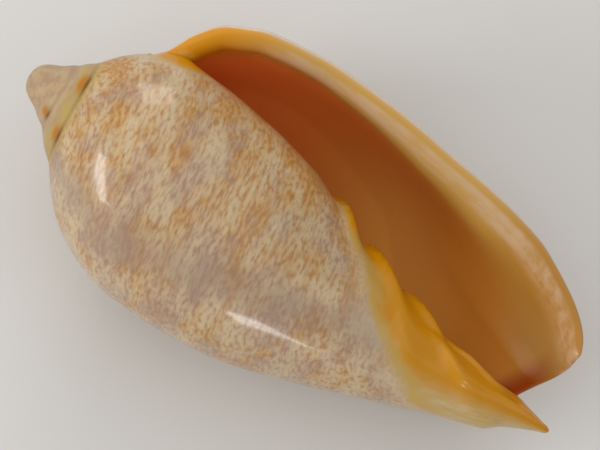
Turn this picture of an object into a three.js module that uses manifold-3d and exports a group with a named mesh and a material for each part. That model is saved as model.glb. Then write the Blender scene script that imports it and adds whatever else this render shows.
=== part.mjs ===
// A volute shell laid on its back with the mouth up. Millimetres, +Z up, +X toward the front beak.
// The shell is one coiled tube: each growth line is a scaled copy of the line before it, and the
// scale grows by TURN_GROWTH for every full turn about the coiling axis.
import * as THREE from 'three';
import Module from 'manifold-3d';

// overall size and growth
const BEAK_TIP = 95;
const APEX = -0.6;
const TURN_GROWTH = 1.8;
const LINE_END = 91.4;
const SPIRE_END = 16;
const SPIRE_LEAN = 0.6;
const DEPTH = 0.94;

// how finely the faces are divided
const SPIRE_ROWS = 14;
const WALL_ROWS = 32;
const MARGIN_ROWS = 2;
const BEAK_ROWS = 8;
const COLUMNS = 56;
const ROOF_POINTS = 16;
const FLOOR_POINTS = 30;

// the hollow behind the mouth
const RING_TURNS = [9, 0.5, -1, -2.6, -4.6, -7.2, -10.6, -15, -21, -29, -39, -51, -64, -77, -90, -102, -113, -123,
  -133, -146, -160, -176, -194, -214, -236, -260, -286, -312];
const WALL_THICKNESS = 1.7;
const RIM_EDGE = 0.9;

// how the finished shell lies: small turns from the plane of the mouth, and the flat spot it rests on
const REST_ROLL = 10;
const REST_PITCH = 4.5;
const FLAT_DEPTH = 0.25;

// radius of the last whorl against the distance along the axis, at the lip's turn
const WALL = curve([[2, -6], [7, 3.6], [11.5, 11.2], [14.2, 14.8], [18.2, 19.5], [22.4, 22.8], [26.4, 24.9],
  [30.5, 26.5], [34.6, 27.6], [40.2, 28.1], [46.6, 28.2], [54.8, 27.6], [63, 26.5], [71, 24.5], [79.2, 21.4],
  [87.2, 17.2], [91.4, 15.4]]);
// the same for the lip itself, which flares at the shoulder and at the front corner
const LIP = curve([[13, 12.6], [15, 15.2], [16.7, 19.2], [19.7, 23.2], [22.7, 25], [25.8, 26.5], [28.8, 27.2],
  [31.8, 27.7], [37.9, 28.3], [47, 28.1], [53, 27.6], [59.1, 26.8], [65.1, 26.1], [71.2, 25.1], [77.3, 23.5],
  [80.3, 22.1], [83.3, 20.5], [86.4, 18.6], [89, 16.5], [90.6, 14.6], [91.4, 13]]);
// how far the growth lines lean round the axis, in degrees
const LINE_LEAN = curve([[0, 6], [10, 8], [25, 11], [45, 12], [70, 9], [85, 4], [92, 0]]);
// where the front margin lies along the axis for each turn angle, and its radius near the mouth
const MARGIN = curve([[-720, 48], [-610, 56], [-540, 62], [-450, 71], [-360, 80], [-270, 83], [-180, 86.4],
  [-135, 86.5], [-107, 87], [-76, 88.3], [-48, 90], [-26, 91.6], [-12, 92.4], [0, 92.5]]);
const MARGIN_RADIUS = curve([[-160, 5.6], [-135, 6.4], [-107, 6.8], [-76, 7.2], [-48, 8.1], [-26, 9.5],
  [-12, 11.2], [0, 13]]);
// the beak, on the mouth side, toward the viewer, on the far side and underneath
const BEAK = [
  curve([[40, 7.6], [50, 7.2], [63.6, 5.2], [77.6, 3.6], [88, 1.5], [90.6, 0.9], [94, 0.6], [95, 0]]),
  curve([[40, 9.5], [50, 9.3], [63, 8.5], [72, 7], [80, 5.6], [86, 4], [90.6, 2.4], [94, 1], [95, 0]]),
  curve([[40, 15], [59, 14], [68.2, 11.5], [74.2, 9.7], [80.3, 7.7], [86.4, 5.3], [88.4, 3.6], [90, 2.7],
    [92.4, 1.5], [94, 0.8], [95, 0]]),
  curve([[40, 8], [50, 7.4], [60, 6.5], [75, 5.5], [82, 5], [88, 4], [92, 2.2], [94, 1], [95, 0]]),
];
// the smooth first whorls at the top of the spire
const NUCLEUS = curve([[-0.6, 0], [-0.5, 0.8], [-0.2, 1.6], [0.4, 2.4], [1.5, 3.15], [2.8, 3.8], [4.5, 5.05],
  [6, 5.7], [8, 5.8], [12, 3], [15, 0]]);
// the pillar's plaits: place along the axis at the mouth side, height, half width
const PLAITS = [[51.1, 1.4, 1.6], [59, 1.4, 1.9], [68.6, 1.3, 2.3], [77.5, 0.9, 2.6]];
const PLAIT_PITCH = 0.095;
// how much slimmer the pillar is than the whorl under it, along the mouth's inner edge
const PILLAR_SLIM = curve([[44, 0], [50, 1.1], [56, 2.1], [70, 2.2], [75, 2.3], [79, 1.6], [83, 0.9], [89, 0]]);

const SHELL_LOOK = { color: 0xc9ad88, roughness: 0.28, metalness: 0 };

// a smooth curve through the given points, held level past both ends
function curve(points) {
  const slopes = points.map((p, i) => {
    if (i === 0 || i === points.length - 1) return 0;
    const before = (p[1] - points[i - 1][1]) / (p[0] - points[i - 1][0]);
    const after = (points[i + 1][1] - p[1]) / (points[i + 1][0] - p[0]);
    return before * after > 0 ? (2 * before * after) / (before + after) : 0;
  });
  const ends = points.length - 1;
  slopes[0] = (points[1][1] - points[0][1]) / (points[1][0] - points[0][0]);
  slopes[ends] = (points[ends][1] - points[ends - 1][1]) / (points[ends][0] - points[ends - 1][0]);
  return (at) => {
    const x = Math.min(Math.max(at, points[0][0]), points[ends][0]);
    let i = 0;
    while (i < ends - 1 && x > points[i + 1][0]) i += 1;
    const gap = points[i + 1][0] - points[i][0];
    const t = (x - points[i][0]) / gap;
    const rise = points[i + 1][1] - points[i][1];
    const a = slopes[i] * gap - rise;
    const b = -slopes[i + 1] * gap + rise;
    return points[i][1] + t * rise + t * (1 - t) * (a * (1 - t) + b * t);
  };
}

function smooth(from, to, x) {
  const t = Math.min(Math.max((x - from) / (to - from), 0), 1);
  return t * t * (3 - 2 * t);
}

// the larger of two radii, with the crease between them rounded over
function blendMax(a, b, round) {
  const near = Math.max(round - Math.abs(a - b), 0) / round;
  return Math.max(a, b) + (near * near * round) / 4;
}

function radians(degrees) {
  return THREE.MathUtils.degToRad(degrees);
}

function growth(turn) {
  return TURN_GROWTH ** (turn / 360);
}

function beakRadius(along, turn) {
  const [mouth, front, far, under] = BEAK.map((side) => side(along));
  const angle = radians(turn);
  return (mouth + front + far + under) / 4 + ((mouth - far) / 2) * Math.cos(angle)
    + ((front - under) / 2) * Math.sin(angle) + ((mouth - front + far - under) / 4) * Math.cos(2 * angle);
}

function marginRadius(turn) {
  const beak = beakRadius(MARGIN(turn), turn);
  return beak + (MARGIN_RADIUS(turn) - beak) * smooth(-165, -135, turn);
}

function lineRadius(line, turn) {
  const flare = line > 13 ? smooth(-45, 0, turn) : 0;
  return WALL(line) + flare * (LIP(line) - WALL(line));
}

// a point of the last whorl: its place on the growth line and the turn angle back from the lip
function whorlPoint(line, turn) {
  const size = growth(turn);
  const along = size * line + smooth(58, LINE_END, line) * (MARGIN(turn) - size * LINE_END);
  const pull = marginRadius(turn) - size * lineRadius(LINE_END, turn);
  return [along, size * lineRadius(line, turn) + smooth(60, 86, line) * pull];
}

// radius of the whorl at a place along the axis, found by halving
function whorlRadius(along, turn) {
  let low = 2;
  let high = LINE_END;
  for (let i = 0; i < 24; i += 1) {
    const middle = (low + high) / 2;
    if (whorlPoint(middle, turn)[0] < along) low = middle;
    else high = middle;
  }
  return whorlPoint(low, turn)[1];
}

// the whorls that lie more than one turn back, with the nucleus
function earlierRadius(along, turn, first) {
  let radius = NUCLEUS(along);
  for (let back = first; back < 4; back += 1) {
    const size = growth(turn - 360 * back);
    const line = along / size;
    const past = Math.max(line - LINE_END, 0);
    radius = blendMax(radius, size * WALL(line) - past, 0.35 * size + 0.1);
  }
  return radius;
}

function plaitHeight(along, turn) {
  const fade = 1 - smooth(15, 75, turn);
  return PLAITS.reduce((sum, [place, height, width]) => {
    const off = Math.abs(along - place - PLAIT_PITCH * turn) / width;
    return sum + height * fade * Math.exp(-(off ** 2.2));
  }, 0);
}

// what the pillar's edge adds to or takes from the whorl, with turns counted from the mouth's inner edge
function relief(along, turn) {
  return plaitHeight(along, turn) - PILLAR_SLIM(along) * (1 - smooth(35, 95, Math.abs(turn)));
}

// the floor of the hollow: the turn before, then the pillar
function floorRadius(along, turn) {
  const end = MARGIN(turn - 360);
  const side = beakRadius(along, turn);
  const slim = BEAK[0](along);
  const pillar = slim + (side - slim) * smooth(-150, -100, turn);
  const last = along <= end ? whorlRadius(along, turn - 360) : pillar;
  return blendMax(last, earlierRadius(along, turn, 2), 0.4) + relief(along, turn);
}

// the outside of the shell at one turn angle, from the tip of the spire to the tip of the beak
function outsideLine(turn) {
  const points = [];
  const size = growth(turn);
  const ventral = turn < -250 ? turn + 360 : 400;
  for (let i = 0; i <= SPIRE_ROWS; i += 1) {
    const along = APEX + (SPIRE_END - APEX) * (i / SPIRE_ROWS) ** 1.6;
    const older = blendMax(whorlRadius(along, turn - 360), earlierRadius(along, turn, 2), 0.4);
    points.push([along, i === 0 ? 0 : blendMax(whorlRadius(along, turn), older, 0.4)]);
  }
  for (let i = 1; i <= WALL_ROWS; i += 1) {
    const start = SPIRE_END / size;
    const part = (i / WALL_ROWS) * (1.45 - (0.45 * i) / WALL_ROWS);
    const [along, radius] = whorlPoint(start + (LINE_END - start) * part, turn);
    const older = along < MARGIN(turn - 360) ? whorlRadius(along, turn - 360) : 0;
    const round = 0.4 * (1 - smooth(30, 40, along)) + 0.01;
    points.push([along, blendMax(radius, older, round) + relief(along, ventral)]);
  }
  const [edge, rim] = points[points.length - 1];
  const root = beakRadius(edge, turn) + relief(edge, ventral);
  for (let i = 1; i <= MARGIN_ROWS; i += 1) {
    points.push([edge + 0.1 * i, rim + ((root - rim) * i) / MARGIN_ROWS]);
  }
  for (let i = 1; i <= BEAK_ROWS; i += 1) {
    const front = edge + 0.1 * MARGIN_ROWS;
    const along = front + (BEAK_TIP - front) * (i / BEAK_ROWS);
    points.push([along, i === BEAK_ROWS ? 0 : beakRadius(along, turn) + relief(along, ventral)]);
  }
  return points;
}

// from axis, radius and turn angle to a frame with X along, Y to the lip, Z up out of the mouth;
// the whorls are a little flatter than round
function place([along, radius], turn) {
  const angle = radians(turn + LINE_LEAN(along));
  const shift = SPIRE_LEAN * (1 - smooth(6, 34, along));
  return [along, radius * Math.cos(angle) + shift, DEPTH * radius * Math.sin(angle)];
}

// thickness of the wall: thin at the very edge of the lip, thick just inside it, even further back
function thickness(line, turn, radius) {
  const back = Math.max(radians(-turn) * radius, 0);
  const toMargin = turn > -140 ? Math.max(LINE_END - line, 0) : 99;
  const band = 3.6 + 2.8 * smooth(30, 75, line);
  const edge = Math.min(back, toMargin * 1.6);
  const round = Math.sqrt(1 - (1 - Math.min(edge / band, 1)) ** 2);
  const lip = band * 0.72 * (1 - smooth(band, band + 30, back)) * (1 - 0.6 * smooth(70, 88, line));
  return RIM_EDGE + round * (WALL_THICKNESS - RIM_EDGE + Math.max(lip - 0.8, 0));
}

// the inside of the wall at one growth line
function insidePoint(line, turn) {
  const [along, radius] = whorlPoint(line, turn);
  const ahead = whorlPoint(line + 0.05, turn);
  const slope = Math.atan2(ahead[1] - radius, ahead[0] - along);
  const depth = thickness(line, turn, radius);
  return [along + depth * Math.sin(slope), radius - depth * Math.cos(slope)];
}

function clearance(line, turn) {
  const [along, radius] = insidePoint(line, turn);
  return radius - floorRadius(along, turn) - 0.35;
}

// one ring of the hollow: along the inside of the wall to the front, and back along the floor
function hollowRing(turn) {
  let first = 45;
  while (first > 8 && clearance(first - 0.5, turn) > 0) first -= 0.5;
  const limit = LINE_END - 24 * smooth(-110, -210, turn);
  let last = 45;
  while (last < limit && clearance(last + 0.5, turn) > 0) last += 0.5;
  last = Math.min(last, limit);
  const open = turn > -128 && last > LINE_END - 0.6;
  const roof = [];
  const n = ROOF_POINTS - 1;
  for (let i = 0; i <= n; i += 1) {
    roof.push(insidePoint(first + (last - first) * (i / n) * (1.3 - (0.3 * i) / n), turn));
  }
  if (open) {
    const end = insidePoint(LINE_END, turn);
    roof[n - 1] = [MARGIN(turn) - 0.3, end[1]];
    roof[n] = [MARGIN(turn) + 3, end[1] + 0.5];
  }
  const from = roof[0][0];
  const to = roof[n][0];
  const floor = [];
  for (let i = 0; i < FLOOR_POINTS; i += 1) {
    const part = i / (FLOOR_POINTS - 1);
    const along = to + (from - to) * part * (0.6 + 0.4 * part);
    const lift = 0.15 + 0.8 * smooth(0, RING_TURNS[0], turn) + (open ? 0.5 * smooth(to - 3.2, to, along) : 0);
    floor.push([along, floorRadius(along, turn) + lift]);
  }
  return [...roof, ...floor].map((point) => place(point, turn));
}

function outsideMesh() {
  const rows = SPIRE_ROWS + WALL_ROWS + MARGIN_ROWS + BEAK_ROWS + 1;
  const positions = [[APEX, SPIRE_LEAN, 0]];
  const columns = COLUMNS + 1;
  for (let c = 0; c < columns; c += 1) {
    const turn = -360 + (360 * c) / COLUMNS;
    outsideLine(turn).slice(1, rows - 1).forEach((point) => positions.push(place(point, turn)));
  }
  const inner = rows - 2;
  const tip = positions.push([BEAK_TIP, 0, 0]) - 1;
  const faces = [];
  for (let c = 0; c < columns; c += 1) {
    const here = 1 + c * inner;
    const next = 1 + ((c + 1) % columns) * inner;
    faces.push([0, here, next]);
    for (let r = 0; r < inner - 1; r += 1) {
      faces.push([here + r, here + r + 1, next + r + 1], [here + r, next + r + 1, next + r]);
    }
    faces.push([here + inner - 1, tip, next + inner - 1]);
  }
  return solidMesh(positions, faces);
}

function hollowMesh() {
  const positions = [];
  const faces = [];
  const size = ROOF_POINTS + FLOOR_POINTS;
  RING_TURNS.forEach((turn) => positions.push(...hollowRing(turn)));
  for (let k = 0; k < RING_TURNS.length - 1; k += 1) {
    for (let i = 0; i < size; i += 1) {
      const a = k * size + i;
      const b = k * size + ((i + 1) % size);
      faces.push([a, a + size, b + size], [a, b + size, b]);
    }
  }
  const back = (RING_TURNS.length - 1) * size;
  let roof = 0;
  let floor = size - 1;
  while (roof < ROOF_POINTS - 1 || floor > ROOF_POINTS) {
    const roofPart = roof / (ROOF_POINTS - 1);
    const floorPart = (size - 1 - floor) / (FLOOR_POINTS - 1);
    const onRoof = roof < ROOF_POINTS - 1 && (roofPart <= floorPart || floor === ROOF_POINTS);
    const third = onRoof ? roof + 1 : floor - 1;
    faces.push([roof, third, floor], [back + roof, back + floor, back + third]);
    if (onRoof) roof += 1;
    else floor -= 1;
  }
  return solidMesh(positions, faces);
}

function solidMesh(positions, faces) {
  return { numProp: 3, vertProperties: new Float32Array(positions.flat()), triVerts: new Uint32Array(faces.flat()) };
}

// the signed volume tells which way the faces were wound
function facingOut(mesh) {
  const v = mesh.vertProperties;
  let volume = 0;
  for (let i = 0; i < mesh.triVerts.length; i += 3) {
    const [a, b, c] = [0, 1, 2].map((k) => {
      const at = 3 * mesh.triVerts[i + k];
      return new THREE.Vector3(v[at], v[at + 1], v[at + 2]);
    });
    volume += a.dot(b.cross(c)) / 6;
  }
  if (volume < 0) {
    for (let i = 0; i < mesh.triVerts.length; i += 3) {
      const second = mesh.triVerts[i + 1];
      mesh.triVerts[i + 1] = mesh.triVerts[i + 2];
      mesh.triVerts[i + 2] = second;
    }
  }
  return mesh;
}

// a plain block, for cutting the flat spot
function block(low, high) {
  const positions = [];
  for (let i = 0; i < 8; i += 1) {
    positions.push([i & 1 ? high[0] : low[0], i & 2 ? high[1] : low[1], i & 4 ? high[2] : low[2]]);
  }
  const faces = [[0, 2, 1], [1, 2, 3], [4, 5, 6], [5, 7, 6], [0, 1, 4], [1, 5, 4], [2, 6, 3], [3, 6, 7],
    [0, 4, 2], [2, 4, 6], [1, 3, 5], [3, 7, 5]];
  return facingOut(solidMesh(positions, faces));
}

const wasm = await Module();
wasm.setup();

function body(mesh) {
  return new wasm.Manifold(new wasm.Mesh(facingOut(mesh)));
}

function restTurn() {
  return new THREE.Matrix4().makeRotationFromEuler(
    new THREE.Euler(radians(REST_ROLL), radians(REST_PITCH), 0, 'YXZ'));
}

function geometryOf(solid) {
  const mesh = solid.getMesh();
  const geometry = new THREE.BufferGeometry();
  const values = new Float32Array(mesh.vertProperties);
  geometry.setAttribute('position', new THREE.BufferAttribute(values, mesh.numProp));
  geometry.setIndex(new THREE.BufferAttribute(new Uint32Array(mesh.triVerts), 1));
  return geometry;
}

// turn the solid to its resting pose and put the lowest point at the floor, under the middle of its length
function settled(solid) {
  const geometry = geometryOf(solid).applyMatrix4(restTurn());
  geometry.computeBoundingBox();
  const { min, max } = geometry.boundingBox;
  geometry.translate(-(min.x + max.x) / 2, -(min.y + max.y) / 2, -min.z - FLAT_DEPTH);
  const positions = geometry.getAttribute('position').array;
  const turned = body({ numProp: 3, vertProperties: positions, triVerts: geometry.getIndex().array });
  return turned.subtract(body(block([-90, -90, -20], [90, 90, 0])));
}

const shape = body(outsideMesh()).subtract(body(hollowMesh()));
const geometry = geometryOf(settled(shape)).toNonIndexed();
geometry.computeVertexNormals();
const shell = new THREE.Mesh(geometry, new THREE.MeshStandardMaterial(SHELL_LOOK));
shell.name = 'shell';
const volute = new THREE.Group();
volute.add(shell);

export default volute;
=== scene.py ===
"""A volute shell lying on its back, mouth up, on a pale floor under soft studio light."""
import math

import bpy
import numpy as np
from mathutils import Matrix, Vector


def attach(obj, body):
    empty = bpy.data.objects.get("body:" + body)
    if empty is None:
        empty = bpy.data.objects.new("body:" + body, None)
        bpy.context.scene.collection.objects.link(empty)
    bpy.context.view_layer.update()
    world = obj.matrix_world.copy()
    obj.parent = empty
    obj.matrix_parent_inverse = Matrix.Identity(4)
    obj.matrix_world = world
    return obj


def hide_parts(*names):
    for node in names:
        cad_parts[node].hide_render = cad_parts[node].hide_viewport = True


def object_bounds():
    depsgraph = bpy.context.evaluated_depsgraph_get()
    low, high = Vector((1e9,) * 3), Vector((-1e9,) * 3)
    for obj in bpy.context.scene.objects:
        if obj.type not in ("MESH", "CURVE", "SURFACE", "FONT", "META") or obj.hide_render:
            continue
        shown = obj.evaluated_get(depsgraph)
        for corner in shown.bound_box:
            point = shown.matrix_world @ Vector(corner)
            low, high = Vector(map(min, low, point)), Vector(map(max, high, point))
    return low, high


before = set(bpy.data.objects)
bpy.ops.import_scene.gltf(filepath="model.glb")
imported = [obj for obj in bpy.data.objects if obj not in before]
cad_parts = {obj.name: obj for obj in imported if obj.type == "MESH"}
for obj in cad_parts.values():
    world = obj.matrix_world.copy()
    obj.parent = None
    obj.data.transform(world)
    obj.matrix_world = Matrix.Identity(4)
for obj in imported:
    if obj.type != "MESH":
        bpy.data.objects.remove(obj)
cad_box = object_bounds()

MM = 0.001

# The shell's growth, in millimetres and degrees. Every growth line is a scaled copy of the one before it.
# Turns are counted back from the lip at 0, so -360 is the mouth's inner edge on the body.
TURN_GROWTH = 1.8
BEAK_TIP = 95.0
APEX = -0.6
LINE_END = 91.4
INSERTION = 13.6
SPIRE_LEAN = 0.6
DEPTH = 0.94
REST_ROLL = 10.0
REST_PITCH = 4.5
NOTCH = -150.0
HOLLOW_BACK = -330.0
EDGE_ROUND = 0.75
SUTURE_ROUND = 0.25
WALL_THICKNESS = 1.7
LIP_BAND = 3.6
LIP_BAND_MORE = 2.8
GROWTH_SPREAD = 213.8

# How near counts as touching, how near points are merged and faces dropped, and the distances given to
# places that are nowhere near the lip or the front margin.
TOUCHING = 0.01
MERGED = 0.002
SLIVER = 0.0005
FAR_OUTSIDE = -40.0
FAR_FROM_FRONT = 40.0

# How much of the solid's box the shell fills, and how far its top stays under the box's.
JUST_INSIDE = 0.9998
UNDER_TOP = 0.01

# The photograph's frame: its width, its pixels to a millimetre of shell, the slope of the shell's axis in it,
# and the point of the shell at its middle.
PHOTO_WIDTH = 600
PHOTO_SCALE = 6.6
PHOTO_SLOPE = 34.22
PHOTO_MIDDLE = (46.1, 4.7)
CAMERA_DISTANCE = 0.8
SENSOR_WIDTH = 36

# Each soft light: its direction as right, up and toward the camera, its distance, width and height in
# metres, its power in watts, and how far it leans in degrees.
LIGHTS = {
    "overhead": ((0.1, 0.35, 0.93), 0.9, 1.5, 1.5, 4.2, 0),
    "left_strip": ((-0.88, -0.02, 0.47), 0.5, 0.07, 0.26, 0.8, -16),
    "low_strip": ((-0.18, -0.93, 0.32), 0.5, 0.085, 0.055, 0.22, 0),
    "top_box": ((0.0, 0.97, 0.22), 0.5, 0.2, 0.2, 0.5, 0),
}

# The room's own light, the point that the soft lights aim at, and the ground's size and how far it lies
# under the shell, in metres.
ROOM_LIGHT = (1, 0.98, 0.95, 1)
ROOM_STRENGTH = 0.37
LIGHT_AIM = (0, 0, 0.02)
GROUND_SIZE = 6
GROUND_DROP = 0.00005


def curve(points):
    """A smooth curve through the points, level past both ends."""
    xs = np.array([p[0] for p in points], float)
    ys = np.array([p[1] for p in points], float)
    step = np.diff(ys) / np.diff(xs)
    slopes = np.zeros(len(xs))
    slopes[0], slopes[-1] = step[0], step[-1]
    before, after = step[:-1], step[1:]
    same = before * after > 0
    slopes[1:-1][same] = 2 * before[same] * after[same] / (before[same] + after[same])

    def at(x):
        x = np.clip(x, xs[0], xs[-1])
        i = np.clip(np.searchsorted(xs, x, side="right") - 1, 0, len(xs) - 2)
        gap = xs[i + 1] - xs[i]
        t = (x - xs[i]) / gap
        rise = ys[i + 1] - ys[i]
        a = slopes[i] * gap - rise
        b = -slopes[i + 1] * gap + rise
        return ys[i] + t * rise + t * (1 - t) * (a * (1 - t) + b * t)
    return at


# The wall's radius along a growth line, for a whorl of full size, and how it flares at the lip.
WALL = curve([(2, -6), (7, 3.6), (11.5, 11.2), (14.2, 14.8), (18.2, 19.5), (22.4, 22.8), (26.4, 24.9),
              (30.5, 26.5), (34.6, 27.6), (40.2, 28.1), (46.6, 28.2), (54.8, 27.6), (63, 26.5), (71, 24.5),
              (79.2, 21.4), (87.2, 17.2), (91.4, 15.4)])
LIP = curve([(13, 12.6), (15, 15.2), (16.7, 19.2), (19.7, 23.2), (22.7, 25), (25.8, 26.5), (28.8, 27.2),
             (31.8, 27.7), (37.9, 28.3), (47, 28.1), (53, 27.6), (59.1, 26.8), (65.1, 26.1), (71.2, 25.1),
             (77.3, 23.5), (80.3, 22.1), (83.3, 20.5), (86.4, 18.6), (89, 16.5), (90.6, 14.6), (91.4, 13)])
LINE_LEAN = curve([(0, 6), (10, 8), (25, 11), (45, 12), (70, 9), (85, 4), (92, 0)])

# Where the wall's front margin lies at each turn, and its radius there.
MARGIN = curve([(-720, 48), (-610, 56), (-540, 62), (-450, 71), (-360, 80), (-270, 83), (-180, 86.4),
                (-135, 86.5), (-107, 87), (-76, 88.3), (-48, 90), (-26, 91.6), (-12, 92.4), (0, 92.5)])
MARGIN_RADIUS = curve([(-160, 5.6), (-135, 6.4), (-107, 6.8), (-76, 7.2), (-48, 8.1), (-26, 9.5),
                       (-12, 11.2), (0, 13)])

# The pillar and beak: their radius toward the mouth, the viewer, the far side and the floor.
BEAK_MOUTH = curve([(40, 7.6), (50, 7.2), (63.6, 5.2), (77.6, 3.6), (88, 1.5), (90.6, 0.9), (94, 0.6),
                    (95, 0.5)])
BEAK_FRONT = curve([(40, 9.5), (50, 9.3), (63, 8.5), (72, 7), (80, 5.6), (86, 4), (90.6, 2.4), (94, 1),
                    (95, 0.6)])
BEAK_FAR = curve([(40, 15), (59, 14), (68.2, 11.5), (74.2, 9.7), (80.3, 7.7), (86.4, 5.3), (88.4, 3.6),
                  (90, 2.7), (92.4, 1.5), (94, 0.8), (95, 0.6)])
BEAK_UNDER = curve([(40, 8), (50, 7.4), (60, 6.5), (75, 5.5), (82, 5), (88, 4), (92, 2.2), (94, 1),
                    (95, 0.6)])
NUCLEUS = curve([(-0.6, 0), (-0.5, 0.8), (-0.2, 1.6), (0.4, 2.4), (1.5, 3.15), (2.8, 3.8), (4.5, 5.05),
                 (6, 5.7), (8, 5.8), (12, 3), (15, 0)])

# Each fold: where it crosses the mouth's edge, its height, its width, and how far round the pillar it goes.
PLAITS = [(51.1, 1.6, 1.7, 28), (59, 1.5, 2.0, 75), (68.6, 1.3, 2.4, 85), (77.5, 0.95, 2.6, 60)]
PLAIT_PITCH = 0.095
PILLAR_PITCH = 0.12
RIDGE_TURN = curve([(66, 20), (70, 42), (73.6, 60), (77, 77), (80, 86), (83, 87), (86, 83), (89, 79),
                    (95, 73)])
PILLAR_SLIM = curve([(44, 0), (50, 1.1), (56, 2.1), (70, 2.2), (75, 2.3), (79, 1.6), (83, 0.9), (89, 0)])

# The ridge down to the beak: its height and its width in degrees, and the groove behind it.
RIDGE_TALL = 1.2
RIDGE_WIDE = 9
GROOVE_DEEP = 0.4
GROOVE_BEHIND = 24
GROOVE_WIDE = 14

# The pad in the mouth's rear corner: its middle, its length, its width in degrees and its height.
CALLUS_ALONG = 16.2
CALLUS_TURN = -1
CALLUS_LONG = 3.6
CALLUS_WIDE = 9
CALLUS_TALL = 0.9

# Where the orange glaze begins: at each turn past the mouth's inner edge, on a fold of this height, and round
# the middle of the pad.
GLAZE_EDGE = curve([(-330, 13), (-120, 26), (-40, 40), (0, 48.5), (8, 53), (25, 57), (50, 60), (70, 61.6),
                    (100, 68), (117, 72), (150, 77), (180, 83), (210, 89), (360, 92)])
GLAZED_FOLD = 0.3
GLAZED_PAD_ALONG = 16.8
GLAZED_PAD_LONG = 4.8
GLAZED_PAD_WIDE = 14

# The violet stripe's turn at the spire end, and how many degrees further back it lies each millimetre along.
STRIPE_TURN = -223
STRIPE_SLANT = 0.7

# The stained pits: their turn, which suture they are on, how dark they are and how many degrees wide.
SUTURE_PITS = [(-304, 0, 1.1, 16), (-239, 0, 1.0, 12), (-237, 1, 0.9, 12)]

# How finely the surfaces are divided: places on a growth line, turns back from the lip, and rows from the
# spire to the beak.
LINES = np.concatenate([np.linspace(2, 80, 400), np.linspace(80, LINE_END, 240)[1:]])
HOLLOW_LINES = 700
TURNS_MOUTH = NOTCH * (0.1 * np.linspace(0, 1, 106) + 0.9 * np.linspace(0, 1, 106) ** 2)
TURNS_BODY = np.linspace(NOTCH, -360, 176)
TURNS_DEEP = np.linspace(NOTCH, HOLLOW_BACK, 51)
SPIRE_ROWS = 62
WALL_STEPS = np.concatenate([np.linspace(0, 0.955, 104), 1 - 0.045 * (1 - np.linspace(0, 1, 15)[1:]) ** 2])
ROOT_STEPS = np.linspace(0, 1, 17)[1:]
TIP_STEPS = 1 - (1 - np.linspace(0, 1, 15)[1:]) ** 1.4


def smooth(low, high, x):
    t = np.clip((x - low) / (high - low), 0, 1)
    return t * t * (3 - 2 * t)


def ease(low, high, x):
    """Like smooth, but with no change of curvature at either end."""
    t = np.clip((x - low) / (high - low), 0, 1)
    return t ** 3 * (t * (6 * t - 15) + 10)


def blend_max(a, b, rounding):
    """The larger of two radii, with the crease between them rounded over."""
    near = np.clip(rounding - np.abs(a - b), 0, None) / rounding
    return np.maximum(a, b) + near * near * rounding / 4


def growth(turn):
    return TURN_GROWTH ** (turn / 360)


def beak_radius(along, turn):
    """The pillar and beak: its four sides joined round in a smooth oval, rounded off at the tip."""
    mouth, front, far, under = (side(along) for side in (BEAK_MOUTH, BEAK_FRONT, BEAK_FAR, BEAK_UNDER))
    angle = math.radians(turn)
    radius = ((mouth + front + far + under) / 4 + (mouth - far) / 2 * math.cos(angle)
              + (front - under) / 2 * math.sin(angle)
              + (mouth - front + far - under) / 4 * math.cos(2 * angle))
    return radius * np.sqrt(np.clip(1 - np.clip(along - (BEAK_TIP - 1), 0, 1) ** 2, 0, 1))


def margin_radius(turn):
    beak = beak_radius(MARGIN(turn), turn)
    return beak + (MARGIN_RADIUS(turn) - beak) * smooth(NOTCH, NOTCH + 28, turn)


def line_radius(line, turn):
    flare = np.where(line > 13, smooth(-45, 0, turn), 0)
    return WALL(line) + flare * (LIP(line) - WALL(line))


def whorl(line, turn):
    """Place along the axis and radius of the last whorl's wall, for places on one growth line."""
    size = growth(turn)
    along = size * line + smooth(58, LINE_END, line) * (MARGIN(turn) - size * LINE_END)
    pull = margin_radius(turn) - size * line_radius(LINE_END, turn)
    return along, size * line_radius(line, turn) + smooth(60, 86, line) * pull


def whorl_at(along, turn):
    return np.interp(along, *whorl(LINES, turn))


def older(along, turn):
    """What had grown one turn before, and everything before that."""
    radius = NUCLEUS(along)
    for back in (3, 2):
        size = growth(turn - 360 * back)
        line = along / size
        past = np.clip(line - LINE_END, 0, None)
        radius = blend_max(radius, size * WALL(line) - past, SUTURE_ROUND * size + 0.05)
    last = np.where(along < MARGIN(turn - 360), whorl_at(along, turn - 360), 0)
    return blend_max(radius, last, 0.22)


def plait_height(along, turn):
    """The folds, steeper behind than in front, and the ridge that the third one makes down to the beak."""
    height = np.zeros_like(along)
    pitch = PLAIT_PITCH if turn < 0 else PILLAR_PITCH
    for start, tall, wide, reach in PLAITS:
        off = along - start - pitch * turn
        side = np.where(off < 0, 0.75 * wide, 1.15 * wide)
        height += tall * np.exp(-np.abs(off / side) ** 2.2) * math.exp(-(max(turn, 0) / reach) ** 2.5)
    round_ridge = turn - RIDGE_TURN(along)
    ridge = RIDGE_TALL * np.exp(-(round_ridge / RIDGE_WIDE) ** 2)
    groove = GROOVE_DEEP * np.exp(-((round_ridge + GROOVE_BEHIND) / GROOVE_WIDE) ** 2)
    return height + (ridge - groove) * smooth(70, 76, along) * (1 - smooth(90, 94.5, along))


def callus_pad(along, turn):
    """The orange pad that fills the rear corner of the mouth, one at its middle."""
    return np.exp(-((along - CALLUS_ALONG) / CALLUS_LONG) ** 2 - ((turn - CALLUS_TURN) / CALLUS_WIDE) ** 2)


def relief(along, turn):
    """All that stands on the pillar and the mouth's inner edge, with turns counted from that edge."""
    slim = PILLAR_SLIM(along) * (1 - smooth(35, 95, abs(turn)))
    pad = CALLUS_TALL * callus_pad(along, turn) * smooth(12.5, 15, along)
    return plait_height(along, turn) + pad - slim


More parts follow.
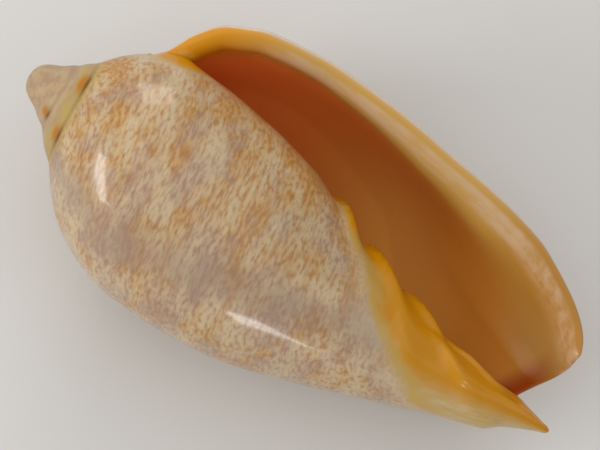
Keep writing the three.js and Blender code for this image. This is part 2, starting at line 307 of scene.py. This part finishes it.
def floor_radius(along, turn):
    """The floor of the hollow under this turn of wall: the turn before, then the pillar."""
    slim = BEAK_MOUTH(along)
    pillar = slim + (beak_radius(along, turn) - slim) * smooth(-200, NOTCH, turn)
    last = np.where(along <= MARGIN(turn - 360), whorl_at(along, turn - 360), pillar)
    crease = 0.05 + SUTURE_ROUND * (1 - smooth(30, 45, along))
    return blend_max(last, older(along, turn - 360), crease) + relief(along, turn)


def place(along, radius, turn):
    """Shell coordinates: X along the axis, Y to the lip, Z up out of the mouth."""
    angle = np.radians(turn + LINE_LEAN(along))
    shift = SPIRE_LEAN * (1 - smooth(6, 34, along))
    return np.stack([along, radius * np.cos(angle) + shift, DEPTH * radius * np.sin(angle)], -1)


def edge_fall(distance):
    """How far a rolled edge falls back: all the way at the edge, nothing one radius in."""
    return 1 - np.sqrt(1 - (1 - np.clip(distance, 0, 1)) ** 2)


def edge_distances(along, radius, turn):
    """Distance back from the lip, and back from the front margin, along the wall."""
    back = abs(math.radians(turn)) * radius
    steps = np.hypot(np.diff(along), np.diff(radius))
    ahead = np.append(np.cumsum(steps[::-1])[::-1], 0)
    return back, ahead + 60 * smooth(0, 60, NOTCH - turn)


def edge_size(line):
    return EDGE_ROUND * (0.15 + 0.85 * smooth(INSERTION, 18, line))


class Column:
    """One turn of a surface: places along the axis, their radii, how deep they are inside the lip, and
    whether an older whorl shows there."""

    def __init__(self, turn, along, radius, depth, buried=False):
        self.turn = turn
        self.along = along
        self.radius = radius
        self.depth = np.zeros(len(along)) + depth
        self.buried = np.zeros(len(along), bool) | buried

    def then(self, further):
        """This column with another one after it."""
        names = ("along", "radius", "depth", "buried")
        pairs = ((getattr(self, name), getattr(further, name)) for name in names)
        return Column(self.turn, *(np.concatenate(pair) for pair in pairs))

    def weld(self, rows, other, other_rows):
        """Give some rows the places of another column's, so that the two surfaces meet there."""
        self.along[rows] = other.along[other_rows]
        self.radius[rows] = other.radius[other_rows]


def outer_column(turn):
    """Outside points for one turn angle, spire rows then wall rows."""
    along = APEX + (INSERTION - APEX) * np.linspace(0, 1, SPIRE_ROWS + 1) ** 1.25
    newest, old = whorl_at(along, turn), older(along, turn)
    radius = blend_max(newest, old, SUTURE_ROUND)
    radius[0] = 0
    spire = Column(turn, along, radius, FAR_OUTSIDE, newest < old)
    start = INSERTION / growth(turn)
    line = start + (LINE_END - start) * WALL_STEPS[1:]
    along, radius = whorl(line, turn)
    back, ahead = edge_distances(along, radius, turn)
    radius = blend_max(radius, older(along, turn), 0.05 + 0.2 * (1 - smooth(30, 45, along)))
    if turn < -180:
        radius = radius + relief(along, turn + 360)
    size = edge_size(line)
    radius = radius - edge_fall(np.minimum(back, ahead) / size) * size
    return spire.then(Column(turn, along, radius, -np.minimum(back, ahead)))


def beak_column(start, turn):
    """Rows from the margin forward: the root, which shrinks to nothing at the notch, then the tip."""
    join = MARGIN(NOTCH) + (MARGIN(0) - MARGIN(NOTCH)) * (NOTCH - turn) / (NOTCH + 360)
    along = np.concatenate([start + (join - start) * ROOT_STEPS, join + (BEAK_TIP - join) * TIP_STEPS])
    radius = beak_radius(along, turn)
    if turn < -180:
        radius = radius + relief(along, turn + 360) * (along < BEAK_TIP - TOUCHING)
    return Column(turn, along, radius, FAR_OUTSIDE)


def roof_curve(turn, line):
    """The inside of the wall: thin at the rolled edge, thick just behind it, even further back."""
    along, radius = whorl(line, turn)
    back, ahead = edge_distances(along, radius, turn)
    band = LIP_BAND + LIP_BAND_MORE * smooth(30, 75, line)
    edge = np.clip(np.minimum(back, ahead * 1.6) / band, 0, 1)
    lip = band * 0.72 * (1 - ease(band - 2, band + 32, back)) * (1 - 0.6 * smooth(70, 88, line))
    start = edge_size(line)
    depth = start + np.sqrt(1 - (1 - edge) ** 2) * (WALL_THICKNESS - start + np.clip(lip - 0.8, 0, None))
    slope = np.arctan2(np.gradient(radius), np.gradient(along))
    if turn > NOTCH:
        slope = slope * smooth(0, 4, ahead)
    face = np.stack([back + depth - start, ahead])
    return along + depth * np.sin(slope), radius - depth * np.cos(slope), face


def hollow_columns(turn, steps):
    """One turn angle of the hollow: its roof from the back corner to the front with the distance to the
    front margin, and the floor below it."""
    limit = LINE_END - 24 * smooth(0, 90, NOTCH - turn)
    line = np.linspace(6, limit, HOLLOW_LINES)
    along, radius, face = roof_curve(turn, line)
    gap = radius - floor_radius(along, turn)
    middle = int(np.argmax(gap))
    low = middle - int(np.argmax(gap[middle::-1] < TOUCHING))
    high = len(line) - 1
    if turn < NOTCH and (gap[middle:] < TOUCHING).any():
        high = middle + int(np.argmax(gap[middle:] < TOUCHING))
    rows = line[low] + (line[high] - line[low]) * WALL_STEPS
    roof_along, roof = np.interp(rows, line, along), np.interp(rows, line, radius)
    depth, front = (np.interp(rows, line, side) for side in face)
    under = floor_radius(roof_along, turn)
    roof = np.maximum(roof, under)
    roof[0] = under[0]
    if turn < NOTCH:
        close = np.clip((WALL_STEPS - 0.9) / 0.1, 0, 1)
        roof = under + (roof - under) * np.sqrt(1 - close ** 2)
    end = roof_along[-1] if turn < NOTCH else float(MARGIN(turn))
    floor_along = roof_along[0] + (end - roof_along[0]) * steps
    floor = Column(turn, floor_along, floor_radius(floor_along, turn), FAR_OUTSIDE)
    return Column(turn, roof_along, roof, depth), front, floor


def tip_column(turn, floor, side=None):
    """From the end of the floor to the beak's tip, or along the last rows of a column beside it."""
    start = floor.along[-1]
    along = start + (BEAK_TIP - start) * TIP_STEPS
    radius = beak_radius(along, turn) + relief(along, turn) * (along < BEAK_TIP - TOUCHING)
    if side:
        along, radius = side.along[-len(TIP_STEPS):], side.radius[-len(TIP_STEPS):]
    return Column(turn, np.append(start, along), np.append(floor.radius[-1], radius), FAR_OUTSIDE)


def build_columns():
    """Every surface as columns that meet its neighbours' point for point, and the roof's front distances."""
    body = []
    for turn in TURNS_BODY:
        column = outer_column(turn)
        beak = beak_column(column.along[-1], turn)
        if turn == NOTCH:
            beak.weld(slice(0, len(ROOT_STEPS)), column, -1)
        body.append(column.then(beak))
    seam = body[-1]
    spire = SPIRE_ROWS + 1
    mouth = [outer_column(turn) for turn in TURNS_MOUTH]
    mouth[0].weld(slice(0, spire), seam, slice(0, spire))
    floor_rows = slice(spire - 1, spire + len(WALL_STEPS) - 1 + len(ROOT_STEPS))
    steps = seam.along[floor_rows]
    steps = (steps - steps[0]) / (steps[-1] - steps[0])
    hollow = [hollow_columns(turn, steps) for turn in np.concatenate([TURNS_MOUTH, TURNS_DEEP[1:]])]
    roof, fronts, floor = zip(*hollow)
    for outside, inside in zip(mouth, roof):
        inside.weld(-1, outside, -1)
    roof[0].weld(slice(None), mouth[0], slice(spire - 1, None))
    floor[0].weld(slice(None), seam, floor_rows)
    last = len(TURNS_MOUTH) - 1
    for k in range(1, len(floor)):
        floor[k].weld(0, roof[k], 0)
        if k >= last:
            floor[k].weld(-1, roof[k], -1)
    beside = {0: seam, last: body[0]}
    tip = [tip_column(turn, floor[k], beside.get(k)) for k, turn in enumerate(TURNS_MOUTH)]
    return body, mouth, roof, floor, tip, np.array(fronts)


def rest_matrix():
    return (Matrix.Rotation(math.radians(REST_PITCH), 3, "Y")
            @ Matrix.Rotation(math.radians(REST_ROLL), 3, "X"))


def deselect_all():
    if bpy.context.object and bpy.context.object.mode != "OBJECT":
        bpy.ops.object.mode_set(mode="OBJECT")
    bpy.ops.object.select_all(action="DESELECT")


def suture_place(turn):
    """How far along the axis a whorl at this turn comes out from under the one before."""
    along = np.linspace(0.5, 16, 500)
    return float(along[np.argmax(whorl_at(along, turn) > older(along, turn))])


SUTURE_TURNS = np.linspace(0, -760, 96)
SUTURE_PLACES = np.array([suture_place(turn) for turn in SUTURE_TURNS])


def spire_marks(along, turn):
    """How yellow the band above the last suture is, how dark the sutures are, and the pits beside them."""
    newest = np.interp(-turn, -SUTURE_TURNS, SUTURE_PLACES)
    before = np.interp(-(turn - 360), -SUTURE_TURNS, SUTURE_PLACES)
    band = smooth(0.1, 0.75, (along - before) / (newest - before)) * (1 - smooth(0.1, 1.3, along - newest))
    dark = np.exp(-((along - newest) / 0.32) ** 2) * 0.35 + np.exp(-((along - before) / 0.25) ** 2) * 0.25
    pits = np.zeros_like(along)
    for where, suture, tall, wide in SUTURE_PITS:
        line = newest if suture == 0 else before
        around = tall * np.exp(-((turn - where) / wide) ** 2)
        pits += around * np.exp(-((along - line + 0.55) / 0.75) ** 2)
        dark += around * np.exp(-((along - line - 0.05) / 0.3) ** 2)
    return band, dark * smooth(3, 4.5, along), pits


def glaze_gap(along, grown):
    """How far a place is inside the orange glaze of the pillar, the folds or the rear corner's pad."""
    folds = np.array([plait_height(a, g + 360) for a, g in zip(along, grown[:, -1])])
    folds = 1.8 * np.log(np.clip(folds, 1e-9, None) / GLAZED_FOLD)
    pad_turn = CALLUS_TURN - 360
    off_along = (along - GLAZED_PAD_ALONG) / GLAZED_PAD_LONG
    off_round = (grown - pad_turn) / GLAZED_PAD_WIDE
    pad = 9 * (1.05 - np.hypot(off_along, off_round))
    return np.maximum(along - GLAZE_EDGE(grown + 360), np.maximum(pad, folds))


def grid_object(name, points):
    """A grid laid over columns of points, with the column and the row of each of its face corners."""
    count, rows = points.shape[:2]
    deselect_all()
    bpy.ops.mesh.primitive_grid_add(x_subdivisions=count - 1, y_subdivisions=rows - 1, size=1)
    piece = bpy.context.object
    piece.name = name
    mesh = piece.data
    flat = np.empty(len(mesh.vertices) * 3)
    mesh.vertices.foreach_get("co", flat)
    across = np.rint((flat[0::3] + 0.5) * (count - 1)).astype(int)
    down = np.rint((flat[1::3] + 0.5) * (rows - 1)).astype(int)
    mesh.vertices.foreach_set("co", points[across, down].ravel())
    corner = np.empty(len(mesh.loops), int)
    mesh.loops.foreach_get("vertex_index", corner)
    return piece, (across[corner], down[corner])


def sheet_object(name, columns, turns_back=0.0, front=FAR_FROM_FRONT):
    """One of the shell's surfaces, carrying its growth map and the distances that the finish reads."""
    piece, here = grid_object(name, np.array([place(c.along, c.radius, c.turn) for c in columns]))
    along = np.array([c.along for c in columns])
    buried = np.array([c.buried for c in columns])
    turns = np.repeat([c.turn for c in columns], along.shape[1]).reshape(along.shape)
    covered = buried[here].reshape(-1, 4).mean(axis=1) > 0.5
    grown = turns[here] - turns_back - 360 * np.repeat(covered, 4)
    spread = np.stack([GROWTH_SPREAD * growth(grown), along[here]], -1) * MM
    mesh = piece.data
    mesh.uv_layers[0].name = "growth_map"
    mesh.uv_layers[0].data.foreach_set("uv", spread.ravel())
    grown = turns - turns_back - 360 * buried
    notes = {"lip_depth": np.array([c.depth for c in columns]), "growth_turn": grown, "along": along,
             "front_gap": np.zeros_like(along) + front, "glaze_gap": glaze_gap(along, grown)}
    notes["spire_band"], notes["suture_dark"], notes["suture_pit"] = spire_marks(along, turns)
    for key, value in notes.items():
        attribute = mesh.attributes.new(key, "FLOAT", "CORNER")
        attribute.data.foreach_set("value", value[here].astype(np.float32))
    return piece


def make_shell():
    """The whole shell as one closed mesh: its surfaces joined, welded and closed at the ends."""
    body, mouth, roof, floor, tip, fronts = build_columns()
    sheets = [sheet_object("body", body), sheet_object("mouth_whorl", mouth),
              sheet_object("roof", roof, front=fronts),
              sheet_object("floor", floor, 360), sheet_object("tip", tip, 360)]
    deselect_all()
    for piece in sheets:
        piece.select_set(True)
    bpy.context.view_layer.objects.active = sheets[0]
    bpy.ops.object.join()
    shell = bpy.context.object
    shell.name = "volute_shell"
    shell.data.name = "volute_shell"
    bpy.ops.object.mode_set(mode="EDIT")
    bpy.ops.mesh.select_all(action="SELECT")
    bpy.ops.mesh.remove_doubles(threshold=MERGED)
    bpy.ops.mesh.dissolve_degenerate(threshold=SLIVER)
    bpy.ops.mesh.select_all(action="DESELECT")
    bpy.ops.mesh.select_mode(type="EDGE")
    bpy.ops.mesh.select_non_manifold(extend=False, use_wire=False, use_boundary=True,
                                     use_multi_face=False, use_non_contiguous=False, use_verts=False)
    bpy.ops.mesh.edge_face_add()
    bpy.ops.mesh.select_all(action="SELECT")
    bpy.ops.mesh.normals_make_consistent(inside=False)
    bpy.ops.mesh.select_all(action="DESELECT")
    bpy.ops.object.mode_set(mode="OBJECT")
    bpy.ops.object.shade_smooth()
    return shell


def settle(shell):
    """Turn the shell to its resting pose, fit it just inside the solid's box and wear the flat spot. The
    result is where the origin of the shell's own axes comes to lie."""
    mesh = shell.data
    points = np.empty(len(mesh.vertices) * 3)
    mesh.vertices.foreach_get("co", points)
    points = points.reshape(-1, 3) @ np.array(rest_matrix()).T
    low, high = points.min(axis=0), points.max(axis=0)
    cad_low, cad_high = (np.array(corner) / MM for corner in cad_box)
    scale = min((cad_high - cad_low)[:2] / (high - low)[:2]) * JUST_INSIDE
    centre = (low + high) / 2
    points = (points - centre) * scale
    top = cad_high[2] - UNDER_TOP
    points[:, 2] += top - points[:, 2].max()
    points[:, 2] = np.maximum(points[:, 2], 0)
    mesh.vertices.foreach_set("co", (points * MM).ravel())
    mesh.update()
    lift = float(top - (high[2] - centre[2]) * scale)
    return (-centre * scale + np.array([0, 0, lift])) * MM


def camera_axes():
    """The camera's right, up and backward directions: it looks straight down on the photographed shell."""
    look = rest_matrix() @ Vector((0, 0, 1))
    axis = math.radians(PHOTO_SLOPE)
    up = rest_matrix() @ Vector((-math.sin(axis), math.cos(axis), 0))
    return up.cross(look), up, look


def set_camera(shell_origin):
    right, up, look = camera_axes()
    centre = Vector(shell_origin) + rest_matrix() @ Vector((*PHOTO_MIDDLE, 0.0)) * MM
    data = bpy.data.cameras.new("camera")
    camera = bpy.data.objects.new("camera", data)
    bpy.context.scene.collection.objects.link(camera)
    turn = Matrix((right, up, look)).transposed().to_4x4()
    camera.matrix_world = Matrix.Translation(centre + look * CAMERA_DISTANCE) @ turn
    data.sensor_fit = "HORIZONTAL"
    data.sensor_width = SENSOR_WIDTH
    data.lens = SENSOR_WIDTH * CAMERA_DISTANCE / (PHOTO_WIDTH / PHOTO_SCALE * MM)
    data.clip_end = 10
    bpy.context.scene.camera = camera
    bpy.context.scene.view_settings.view_transform = "Standard"


def softbox(name, toward, distance, width, height, power, lean):
    """A soft light in a direction given as right, up and back toward the camera, aimed at the shell."""
    data = bpy.data.lights.new(name, "AREA")
    data.shape = "RECTANGLE"
    data.size, data.size_y = width, height
    data.energy = power
    light = bpy.data.objects.new(name, data)
    bpy.context.scene.collection.objects.link(light)
    right, up, look = camera_axes()
    away = (right * toward[0] + up * toward[1] + look * toward[2]).normalized()
    side = (up - away * up.dot(away)).normalized()
    side = Matrix.Rotation(math.radians(lean), 3, away) @ side
    light.matrix_world = Matrix((side.cross(away), side, away)).transposed().to_4x4()
    light.location = Vector(LIGHT_AIM) + away * distance


def set_lights():
    world = bpy.data.worlds.new("studio")
    world.use_nodes = True
    world.node_tree.nodes["Background"].inputs["Color"].default_value = ROOM_LIGHT
    world.node_tree.nodes["Background"].inputs["Strength"].default_value = ROOM_STRENGTH
    bpy.context.scene.world = world
    for name, settings in LIGHTS.items():
        softbox(name, *settings)


def light_value(level):
    """The shader's own light value for one screen level, 0 to 255."""
    shade = level / 255
    return shade / 12.92 if level < 10.3 else ((shade + 0.055) / 1.055) ** 2.4


def paint(red, green, blue):
    """A colour given as it looks on a screen."""
    return (light_value(red), light_value(green), light_value(blue), 1)


class Recipe:
    """A material built up node by node."""

    def __init__(self, name):
        self.material = bpy.data.materials.new(name)
        self.material.use_nodes = True
        self.tree = self.material.node_tree
        self.shader = self.tree.nodes["Principled BSDF"]

    def node(self, kind, settings=None, **inputs):
        """A new node. An input is named with _ for each space, or is _ and its number."""
        made = self.tree.nodes.new("ShaderNode" + kind)
        for key, value in (settings or {}).items():
            setattr(made, key, value)
        for key, value in inputs.items():
            self.plug(made.inputs[int(key[1:]) if key[0] == "_" else key.replace("_", " ")], value)
        return made

    def plug(self, socket, value):
        if isinstance(value, bpy.types.NodeSocket):
            self.tree.links.new(value, socket)
        else:
            socket.default_value = value

    def note(self, name):
        """A value that the mesh carries."""
        return self.node("Attribute", {"attribute_name": name}).outputs["Fac"]

    def work_out(self, operation, first, second=0.0, third=0.0):
        return self.node("Math", {"operation": operation}, _0=first, _1=second, _2=third).outputs[0]

    def plus(self, first, second):
        return self.work_out("ADD", first, second)

    def times(self, first, second):
        return self.work_out("MULTIPLY", first, second)

    def scaled(self, value, factor, shift):
        return self.work_out("MULTIPLY_ADD", value, factor, shift)

    def rise(self, value, low, high, to_low=0.0, to_high=1.0):
        """From to_low below low to to_high above high, smoothly between."""
        return self.node("MapRange", {"interpolation_type": "SMOOTHSTEP"}, _0=value, _1=low, _2=high,
                         _3=to_low, _4=to_high).outputs[0]

    def mix(self, amount, first, second):
        made = self.node("Mix", {"data_type": "RGBA"})
        self.plug(made.inputs[0], amount)
        self.plug(made.inputs[6], first)
        self.plug(made.inputs[7], second)
        return made.outputs[2]

    def stretched(self, vector, scale):
        return self.node("Mapping", None, Vector=vector, Scale=scale).outputs[0]

    def turned(self, vector, angle):
        return self.node("Mapping", None, Vector=vector, Rotation=(0, 0, angle)).outputs[0]

    def cloud(self, vector, scale, detail, rough=0.5, output="Fac"):
        return self.node("TexNoise", None, Vector=vector, Scale=scale, Detail=detail,
                         Roughness=rough).outputs[output]


CREAM = paint(206, 182, 144)
BUFF = paint(204, 160, 102)
DUSK = paint(190, 160, 134)
FLECK_BROWN = paint(178, 124, 62)
FLECK_VIOLET = paint(168, 134, 110)
VIOLET_WASH = paint(164, 139, 124)
WHITE_WASH = paint(204, 184, 152)
SPIRE_PINK = paint(178, 146, 118)
SPIRE_CREAM = paint(192, 166, 126)
PIT_ORANGE = paint(188, 120, 28)
EDGE_TAN = paint(186, 138, 74)
BAND_YELLOW = paint(186, 160, 86)
SUTURE_TAN = paint(146, 112, 66)
SUTURE_BROWN = paint(104, 62, 24)
GLAZE_ORANGE = paint(208, 140, 6)
GLAZE_YELLOW = paint(198, 160, 82)
LIP_LINE = paint(226, 204, 184)
LIP_PAINTED_HIGHLIGHT = paint(212, 176, 132)
LIP_CHALK = paint(222, 186, 154)
LIP_YELLOW = paint(206, 160, 78)
LIP_ORANGE = paint(226, 154, 20)
LIP_AMBER = paint(188, 132, 52)
FRONT_PAINTED_SHADE = paint(160, 66, 5)
HOLLOW_RED = paint(255, 146, 64)
HOLLOW_TAN = paint(200, 128, 46)
HOLLOW_PAINTED_LIGHT = paint(255, 186, 88)
FLOOR_GREY = (0.75, 0.74, 0.72, 1)


def spotted_skin(shell, skin, patches, along, grown):
    """The outside: cream and buff under fine brown flecks, with violet patches and a violet stripe."""
    drift = shell.cloud(skin, 0.35, 1, output="Color")
    drift = shell.node("VectorMath", {"operation": "MULTIPLY_ADD"}, _0=drift, _1=(0.9, 0.8, 0), _2=skin)
    drift = shell.turned(drift.outputs[0], -0.22)
    grains = shell.cloud(shell.stretched(drift, (0.45, 1, 1)), 1.8, 3, 0.55)
    crowd = shell.rise(patches, 0.34, 0.66, 0.05, -0.07)
    fleck = shell.rise(shell.plus(grains, crowd), 0.36, 0.7)
    tint = shell.plus(shell.cloud(skin, 0.15, 4, 0.6), shell.rise(grown, -320, -230, -0.06, 0.03))
    tint = shell.rise(tint, 0.4, 0.6)
    ground = shell.mix(shell.rise(patches, 0.36, 0.64), shell.mix(tint, BUFF, DUSK), CREAM)
    spotted = shell.mix(fleck, ground, shell.mix(tint, FLECK_BROWN, FLECK_VIOLET))
    stripe = shell.work_out("ABSOLUTE", shell.plus(shell.scaled(along, STRIPE_SLANT, grown), -STRIPE_TURN))
    stripe = shell.plus(stripe, shell.scaled(patches, 40.0, -20.0))
    return shell.mix(shell.rise(stripe, 3, 20, 0.5, 0), spotted, VIOLET_WASH)


def glazed_skin(shell, slant, spotted, edge, along, grown):
    """The spotted skin washed pale beside the orange glaze of the pillar and the pad, then the glaze."""
    washed = shell.mix(shell.rise(edge, -9, -1, 0, 0.5), spotted, WHITE_WASH)
    streaks = shell.cloud(shell.stretched(slant, (0.55, 0.3, 1)), 1.0, 3, 0.55)
    pale = shell.mix(shell.rise(streaks, 0.36, 0.66, 0.1, 0.5), GLAZE_YELLOW, WHITE_WASH)
    orange = shell.mix(shell.rise(grown, -262, -228), GLAZE_ORANGE, pale)
    orange = shell.mix(shell.rise(edge, 0, 3.5), GLAZE_YELLOW, orange)
    glazed = shell.mix(shell.rise(edge, -2.5, 0.5), washed, orange)
    mouth_edge = shell.times(shell.rise(grown, -360, -334, 0.5, 0), shell.rise(along, 18, 24))
    return shell.mix(shell.times(mouth_edge, shell.rise(edge, -5, -1, 1, 0)), glazed, EDGE_TAN)


def hollow_shade(shell, along, lip):
    """The hollow: red-brown at the back, tan in front, and painted light deep down beside the pillar, lifting
    the pillar's shadow.
    """
    shade = shell.mix(shell.rise(along, 22, 78), HOLLOW_RED, HOLLOW_TAN)
    # Painted light: a lighter colour deep down beside the pillar, where the pillar's shadow falls.
    deep = shell.times(shell.rise(lip, 14, 30), shell.rise(along, 36, 66))
    return shell.mix(deep, shade, HOLLOW_PAINTED_LIGHT)


def older_skin(shell, mottle, band, hollow, along, glaze):
    """Older whorls: pink and cream on the spire, the hollow's colour in the mouth, orange on the pad."""
    spire = shell.mix(shell.rise(mottle, 0.38, 0.62), SPIRE_PINK, SPIRE_CREAM)
    banded = shell.times(band, shell.rise(mottle, 0.36, 0.58, 0.35, 1))
    spire = shell.mix(banded, spire, BAND_YELLOW)
    behind = shell.mix(shell.rise(along, 13, 17), spire, hollow)
    return shell.mix(shell.rise(glaze, -6, -0.5), behind, GLAZE_ORANGE)


def stained_sutures(shell, mottle, outside):
    """Dark lines in the sutures, with ragged orange stains beside their pits."""
    pit = shell.scaled(mottle, 0.8, shell.work_out("SUBTRACT", shell.note("suture_pit"), 0.4))
    stained = shell.mix(shell.rise(pit, 0.08, 0.95), outside, PIT_ORANGE)
    dark = shell.scaled(mottle, 0.8, shell.work_out("SUBTRACT", shell.note("suture_dark"), 0.4))
    stained = shell.mix(shell.rise(dark, 0.05, 0.45, 0, 0.5), stained, SUTURE_TAN)
    return shell.mix(shell.rise(dark, 0.45, 1.2, 0, 0.8), stained, SUTURE_BROWN)


def lip_rim(shell, skin, along, lip):
    """The lip's inner face: orange at the back, then yellow with a painted cream highlight streak along the
    rim's crest, and amber with chalky patches in front."""
    highlight_breakup = shell.cloud(shell.stretched(skin, (0.9, 0.1, 1)), 1.0, 3, 0.6)
    # Painted highlight: a pale cream streak along the rounded crest of the lip, broken up by noise and fading
    # in front.
    streak = shell.times(shell.rise(lip, 0.4, 1.3), shell.rise(lip, 3.4, 6.6, 1, 0))
    streak = shell.times(streak, shell.rise(highlight_breakup, 0.38, 0.58, 0.3, 1))
    streak = shell.times(streak, shell.rise(along, 70, 86, 1, 0.25))
    rim = shell.mix(shell.rise(along, 62, 84), LIP_YELLOW, LIP_AMBER)
    rim = shell.mix(shell.rise(along, 19, 33), LIP_ORANGE, shell.mix(streak, rim, LIP_PAINTED_HIGHLIGHT))
    chalk = shell.rise(shell.cloud(skin, 0.5, 3, 0.55), 0.36, 0.68, 0, 0.55)
    chalk = shell.times(chalk, shell.rise(along, 64, 80))
    near_edge = shell.times(shell.rise(lip, 0.3, 1.4), shell.rise(lip, 2.4, 6, 1, 0))
    return shell.mix(shell.times(chalk, near_edge), rim, LIP_CHALK)


def set_gloss(shell, skin, along, lip):
    """A glossy glaze, duller on the first whorls, with faint growth lines outside and on the lip's edge."""
    early = shell.rise(along, 8, 13, 1, 0)
    shell.plug(shell.shader.inputs["Roughness"], shell.scaled(early, 0.17, 0.28))
    shell.shader.inputs["Specular IOR Level"].default_value = 0.25
    shell.plug(shell.shader.inputs["Coat Weight"], shell.scaled(early, -0.34, 0.38))
    shell.shader.inputs["Coat Roughness"].default_value = 0.1
    ripple = shell.cloud(shell.stretched(skin, (1.3, 0.2, 1)), 1.0, 4, 0.7)
    ripple = shell.times(ripple, shell.rise(lip, -1, 2, 1, 0))
    bump = shell.node("Bump", None, Strength=0.3, Distance=0.0002, Height=ripple)
    shell.plug(shell.shader.inputs["Normal"], bump.outputs[0])


def shell_finish():
    """Glazed shell: spotted outside, orange round the folds and lip, dark red-brown in the hollow."""
    shell = Recipe("shell_glaze")
    lip, front, grown = shell.note("lip_depth"), shell.note("front_gap"), shell.note("growth_turn")
    along, glaze, band = shell.note("along"), shell.note("glaze_gap"), shell.note("spire_band")
    flat = shell.node("UVMap", {"uv_map": "growth_map"}).outputs[0]
    skin = shell.stretched(flat, (1 / MM, 1 / MM, 1))
    slant = shell.turned(skin, -0.3)
    patches = shell.cloud(shell.stretched(slant, (0.5, 1, 1)), 0.24, 3, 0.62)
    mottle = shell.cloud(shell.stretched(skin, (0.25, 0.8, 1)), 1.0, 4, 0.65)

    spotted = spotted_skin(shell, skin, patches, along, grown)
    edge = shell.plus(glaze, shell.scaled(patches, 6.0, -3.0))
    outside = glazed_skin(shell, slant, spotted, edge, along, grown)
    outside = shell.mix(shell.times(band, 0.8), outside, BAND_YELLOW)
    hollow = hollow_shade(shell, along, lip)
    behind = older_skin(shell, mottle, band, hollow, along, glaze)
    outside = shell.mix(shell.rise(grown, -368, -361, 1, 0), outside, behind)
    outside = stained_sutures(shell, mottle, outside)
    outside = shell.mix(shell.rise(lip, -1.2, -0.5, 0, 0.8), outside, LIP_LINE)

    inside = shell.mix(shell.rise(lip, 6.8, 12.5), lip_rim(shell, skin, along, lip), hollow)
    # Painted shade: a dark brown band along the inside of the front margin, where the wall slopes away into
    # the notch.
    inside = shell.mix(shell.rise(front, 1.6, 4.2, shell.rise(lip, 4.5, 9), 0), inside, FRONT_PAINTED_SHADE)
    shell.plug(shell.shader.inputs["Base Color"], shell.mix(shell.rise(lip, -0.25, 0), outside, inside))
    set_gloss(shell, skin, along, lip)
    return shell.material


def floor_finish():
    floor = Recipe("floor")
    floor.shader.inputs["Base Color"].default_value = FLOOR_GREY
    floor.shader.inputs["Roughness"].default_value = 0.8
    return floor.material


def main():
    shell = make_shell()
    shell_origin = settle(shell)
    shell.data.materials.append(shell_finish())
    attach(shell, "root")
    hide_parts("shell")
    deselect_all()
    bpy.ops.mesh.primitive_plane_add(size=GROUND_SIZE, location=(0, 0, -GROUND_DROP))
    ground = bpy.context.object
    ground.name = "floor"
    ground.data.materials.append(floor_finish())
    set_lights()
    set_camera(shell_origin)


main()
